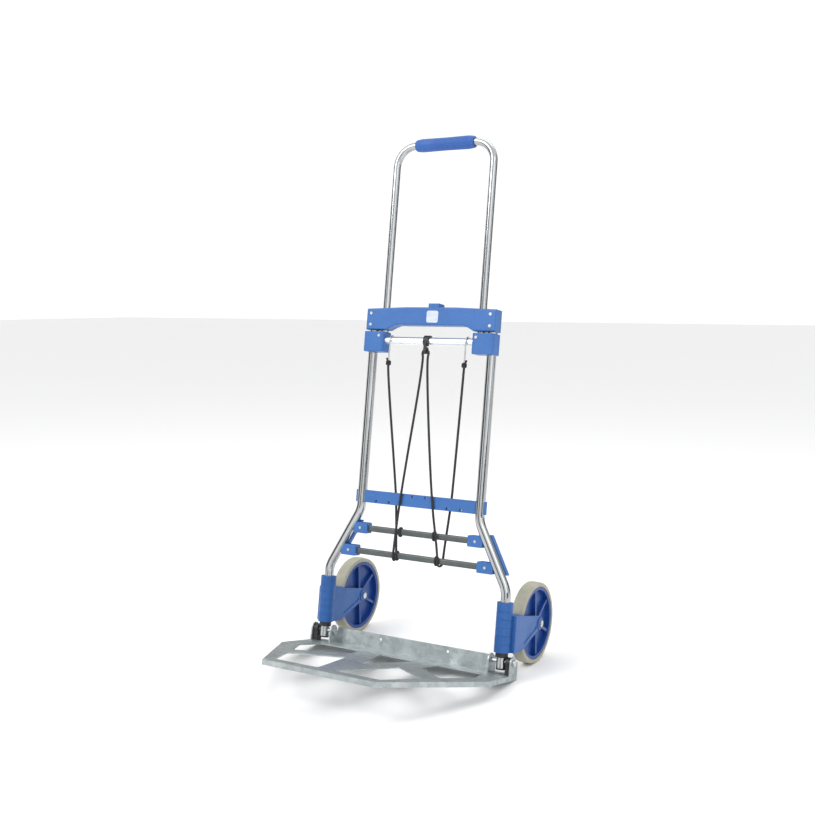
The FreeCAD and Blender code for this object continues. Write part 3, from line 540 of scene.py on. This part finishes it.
@dataclass
class ElasticCord:
    """The tight elastic cord, from its left knot round strap, rods and hook to its right knot."""

    radius: float = 0.0025

    def route(self) -> list[Vector]:
        """Return the route's points in the row frame."""
        across_back_up = (
            (-90, -17.8, 615.5), (-90, -17.8, 602), (-63.5, 8, 352), (-60.5, 9, 320), (-53.5, 10.5, 232),
            (-53, 10.5, 207.5), (-52, -4.5, 207.5), (-51.5, -4.5, 232), (-41, -9.5, 350), (-7.2, -13.7, 628),
            (-13.5, -14, 650.4), (5.5, -14, 650.4), (-0.8, -13.7, 628), (31, -9.5, 350), (53.5, -4.5, 232),
            (54, -4.5, 207.5), (59, 10.5, 207.5), (59.5, 10.5, 232), (68, 9, 320), (71, 8, 352),
            (90, -17.8, 602), (90, -17.8, 615.5),
        )
        return [on_frame(*(value / 1000 for value in point)) for point in across_back_up]

    def line(self) -> bpy.types.Object:
        """Make the cord's centreline as one smooth open spline, and return its object."""
        curve = bpy.data.curves.new("cord_line", "CURVE")
        curve.dimensions = "3D"
        curve.resolution_u = 24
        spline = curve.splines.new("NURBS")
        points = self.route()
        spline.points.add(len(points) - 1)
        for point, place in zip(spline.points, points):
            point.co = (*place, 1)
        spline.order_u = 3
        spline.use_endpoint_u = True
        line = bpy.data.objects.new("cord_line", curve)
        bpy.context.collection.objects.link(line)
        return line

    def build(self) -> bpy.types.Object:
        line = self.line()
        bpy.context.view_layer.update()
        path = [vertex.co.copy() for vertex in bpy.data.meshes.new_from_object(line).vertices]
        deselect()
        line.data.bevel_depth = self.radius
        line.data.bevel_resolution = 4
        line.data.use_fill_caps = True
        line.select_set(True)
        bpy.context.view_layer.objects.active = line
        bpy.ops.object.convert(target="MESH")
        cord = bpy.context.object
        settle(cord, "elastic_loop", Matrix.Identity(4))
        self.tidy(cord)
        smooth(cord, 60)
        Finishes.CORD.dress(cord)
        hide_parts("elastic_cord")
        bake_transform(cord)
        return cord

    def tidy(self, cord: bpy.types.Object) -> None:
        """Close the tube's ends and turn its faces outwards."""
        deselect()
        cord.select_set(True)
        bpy.context.view_layer.objects.active = cord
        bpy.ops.object.mode_set(mode="EDIT")
        bpy.ops.mesh.select_all(action="SELECT")
        bpy.ops.mesh.remove_doubles(threshold=0.00001)
        bpy.ops.mesh.normals_make_consistent(inside=False)
        bpy.ops.object.mode_set(mode="OBJECT")


@dataclass
class CordKnot:
    """The knot at one end of the cord: two tight turns round a core, and a short tail."""

    side_name: str
    turn: float = 0.0036
    thick: float = 0.0021
    tail: float = 0.011

    def build(self) -> bpy.types.Object:
        """Model the knot where the CAD has it, and let it ride on the handle."""
        side = SIDES[self.side_name]
        pieces = []
        for tilt, height in ((0.5, -0.0016), (-0.6, 0.0018)):
            deselect()
            bpy.ops.mesh.primitive_torus_add(
                major_radius=self.turn, minor_radius=self.thick, major_segments=28, minor_segments=12,
                location=(0, 0, height), rotation=(tilt, tilt * 0.7, 0),
            )
            pieces.append(bpy.context.object)
        deselect()
        bpy.ops.mesh.primitive_uv_sphere_add(segments=20, ring_count=12, radius=self.turn)
        pieces.append(bpy.context.object)
        deselect()
        bpy.ops.mesh.primitive_cylinder_add(vertices=16, radius=self.thick, depth=self.tail)
        tail = bpy.context.object
        tail.matrix_basis = Matrix.Rotation(side * 0.42, 4, "Y") @ Matrix.Translation((0, 0, self.tail * 0.6))
        bevel = tail.modifiers.new("end", "BEVEL")
        bevel.width, bevel.segments = 0.0007, 3
        bpy.ops.object.modifier_apply(modifier=bevel.name)
        pieces.append(tail)
        deselect()
        for piece in pieces:
            piece.select_set(True)
        bpy.context.view_layer.objects.active = pieces[0]
        bpy.ops.object.join()
        knot = bpy.context.object
        place = Matrix.Translation(on_frame(side * 0.090, -0.0178, 0.621)) @ Matrix.Rotation(-LEAN, 4, "X")
        settle(knot, f"knot_{self.side_name}", place)
        smooth(knot, 60)
        Finishes.CORD.dress(knot)
        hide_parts(f"cord_knot_{self.side_name}")
        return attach(knot, "handle")


@dataclass
class CoilSpring:
    """The compression spring under the release button."""

    across: float = 0.008
    back: float = 0.0069
    foot: float = 0.7068
    height: float = 0.0255
    pitch: float = 0.0026
    coil: float = 0.0018
    wire: float = 0.00035
    seat: float = 0.733
    turn_steps: int = 20

    def build(self) -> bpy.types.Object:
        """Wind the coil where the CAD has it."""
        deselect()
        curve = bpy.data.curves.new("spring_line", "CURVE")
        curve.dimensions = "3D"
        curve.bevel_depth = self.wire
        curve.bevel_resolution = 2
        curve.use_fill_caps = True
        steps = round(self.height / self.pitch * self.turn_steps)
        spline = curve.splines.new("POLY")
        spline.points.add(steps)
        for count, point in enumerate(spline.points):
            turn, up = count / self.turn_steps * 2 * math.pi, self.height * count / steps
            place = (self.across + self.coil * math.cos(turn), self.back + self.coil * math.sin(turn), self.foot + up)
            point.co = (*on_frame(*place), 1)
        spring = bpy.data.objects.new("spring_line", curve)
        bpy.context.collection.objects.link(spring)
        spring.select_set(True)
        bpy.context.view_layer.objects.active = spring
        bpy.ops.object.convert(target="MESH")
        spring = settle(bpy.context.object, "button_coil", Matrix.Identity(4))
        smooth(spring, 60)
        Finishes.ZINC.dress(spring)
        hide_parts("button_spring")
        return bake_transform(spring)


class FrameParts:
    """The CAD nodes that keep their shape, and the finish of each."""

    finishes = {
        Finishes.CHROME: ("frame_tube_left", "frame_tube_right", "handle_tube"),
        Finishes.BEAM: (
            "crossbeam_front", "crossbeam_rear", "slider_block_left", "slider_block_right", "release_button",
            "side_rail_left", "side_rail_right", "lower_strap",
        ),
        Finishes.GRIP: ("handle_grip",),
        Finishes.FORK: ("wheel_bracket_left", "wheel_bracket_right"),
        Finishes.DISC: ("wheel_disc_left", "wheel_disc_right"),
        Finishes.TYRE: ("tyre_left", "tyre_right"),
        Finishes.SHEET: ("toe_plate",),
        Finishes.ROD: ("cross_rod_upper", "cross_rod_lower"),
        Finishes.BAR: ("hook_bar",),
        Finishes.ZINC: (
            "crossbeam_rivets", "strap_rivets", "rod_rivets", "slider_rivets", "hinge_pin_left", "hinge_pin_right",
            "axle_bolt_left", "axle_bolt_right", "axle_nut_left", "axle_nut_right", "wire_hook_left",
            "wire_hook_right", "button_spring",
        ),
        Finishes.BLACK: (
            "foot_plug_left", "foot_plug_right", "leg_guide_bushes", "lock_bar_left", "lock_bar_right",
            "centre_hook", "fold_cam_left", "fold_cam_right", "swivel_collar_left", "swivel_collar_right",
            "hub_spacers_left", "hub_spacers_right", "hub_bush_left", "hub_bush_right",
        ),
        Finishes.BADGE: ("blank_badge",),
        Finishes.CORD: ("elastic_cord", "cord_wraps", "cord_knot_left", "cord_knot_right"),
    }

    def dress(self) -> None:
        """Give every CAD node its finish."""
        for finish, nodes in self.finishes.items():
            for node in nodes:
                finish.dress(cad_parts[node])


@dataclass
class Studio:
    """A pale floor, soft lights, a banded world and the camera."""

    floor_size: float = 60.0
    lens: float = 48.78
    eye: tuple[float, float, float] = (1.1178, -1.87288, 0.7545)
    azimuth: float = 30.14
    pitch: float = -5.68
    dark_bands: tuple[tuple[float, float], ...] = (
        (-150.0, 20.0), (-95.0, 9.0), (-25.0, 17.0), (40.0, 20.0), (120.0, 20.0),
    )

    def build(self) -> None:
        """Set the stage, the lights and the camera."""
        bpy.context.scene.view_settings.view_transform = "Standard"
        self.floor()
        self.lights()
        self.camera()

    def plain(self, name: str, colour: Colour) -> bpy.types.Material:
        """Return a matte material for the stage."""
        return Finish(name, colour, colour, 0.9, 0.0, patch_amount=0.0).material()

    def floor(self) -> None:
        """Lay a pale floor that runs past the horizon."""
        deselect()
        bpy.ops.mesh.primitive_plane_add(size=self.floor_size, location=(0, 0, -0.0005))
        floor = bpy.context.object
        floor.name = "floor"
        floor.data.materials.append(self.plain("pale floor", (0.92, 0.92, 0.92)))

    def lights(self) -> None:
        """Light the cart from the front left, the right and above, on a pale world."""
        for name, place, size, power in (
            ("key", (-1.8, -2.6, 3.0), 1.8, 58),
            ("fill", (2.8, -1.6, 1.8), 2.2, 22),
            ("top", (0.2, 1.2, 3.6), 2.5, 26),
        ):
            lamp = bpy.data.lights.new(name, "AREA")
            lamp.size = size
            lamp.energy = power
            light = bpy.data.objects.new(name, lamp)
            light.location = place
            light.rotation_euler = (Vector((0, 0, 0.5)) - Vector(place)).to_track_quat("-Z", "Y").to_euler()
            bpy.context.collection.objects.link(light)
        world = bpy.data.worlds.new("pale studio")
        bpy.context.scene.world = world
        world.use_nodes = True
        tree = world.node_tree
        background = tree.nodes["Background"]
        background.inputs["Strength"].default_value = 1.08
        share = math_node(tree, "MULTIPLY", self.bands(tree), self.unseen(tree))
        pale, dark = (tree.nodes.new("ShaderNodeRGB") for _ in range(2))
        pale.outputs[0].default_value = (1, 1, 1, 1)
        dark.outputs[0].default_value = (0.045, 0.05, 0.055, 1)
        tree.links.new(mixed(tree, share, pale.outputs[0], dark.outputs[0]), background.inputs["Color"])

    def bands(self, tree: bpy.types.NodeTree):
        """Return a mask of upright dark bands, which bright tubes show as dark streaks."""
        where = tree.nodes.new("ShaderNodeTexCoord")
        split = tree.nodes.new("ShaderNodeSeparateXYZ")
        tree.links.new(where.outputs["Generated"], split.inputs[0])
        turn = math_node(tree, "ARCTAN2", split.outputs["Y"], split.outputs["X"])
        mask = None
        for degrees, half in self.dark_bands:
            off = math_node(tree, "ABSOLUTE", math_node(tree, "SUBTRACT", turn, math.radians(degrees)), 0.0)
            edge = math.radians(half)
            band = ranged(tree, off, edge + 0.03, edge - 0.03)
            mask = band if mask is None else math_node(tree, "ADD", mask, band)
        low = ranged(tree, split.outputs["Z"], 0.6, 0.35)
        return math_node(tree, "MULTIPLY", mask, low)

    def unseen(self, tree: bpy.types.NodeTree):
        """Return one for every ray but the camera's own."""
        path = tree.nodes.new("ShaderNodeLightPath")
        return math_node(tree, "SUBTRACT", 1.0, path.outputs["Is Camera Ray"])

    def camera(self) -> None:
        """Place the camera in front of the cart, to its right."""
        data = bpy.data.cameras.new("camera")
        data.lens = self.lens
        data.sensor_width = 36
        camera = bpy.data.objects.new("camera", data)
        camera.location = self.eye
        camera.rotation_euler = (math.radians(90 + self.pitch), 0, math.radians(self.azimuth))
        bpy.context.collection.objects.link(camera)
        bpy.context.scene.camera = camera


def main() -> None:
    """Build and dress every sub-assembly, then the studio."""
    FrameParts().dress()
    log.info("dressed the frame's parts")
    for side_name in SIDES:
        log.info("built %s", Tyre(side_name).build().name)
        log.info("built %s", CordKnot(side_name).build().name)
    log.info("built %s", ElasticCord().build().name)
    log.info("built %s", CoilSpring().build().name)
    Studio().build()


if __name__ == "__main__":
    logging.basicConfig(level=logging.INFO)
    main()
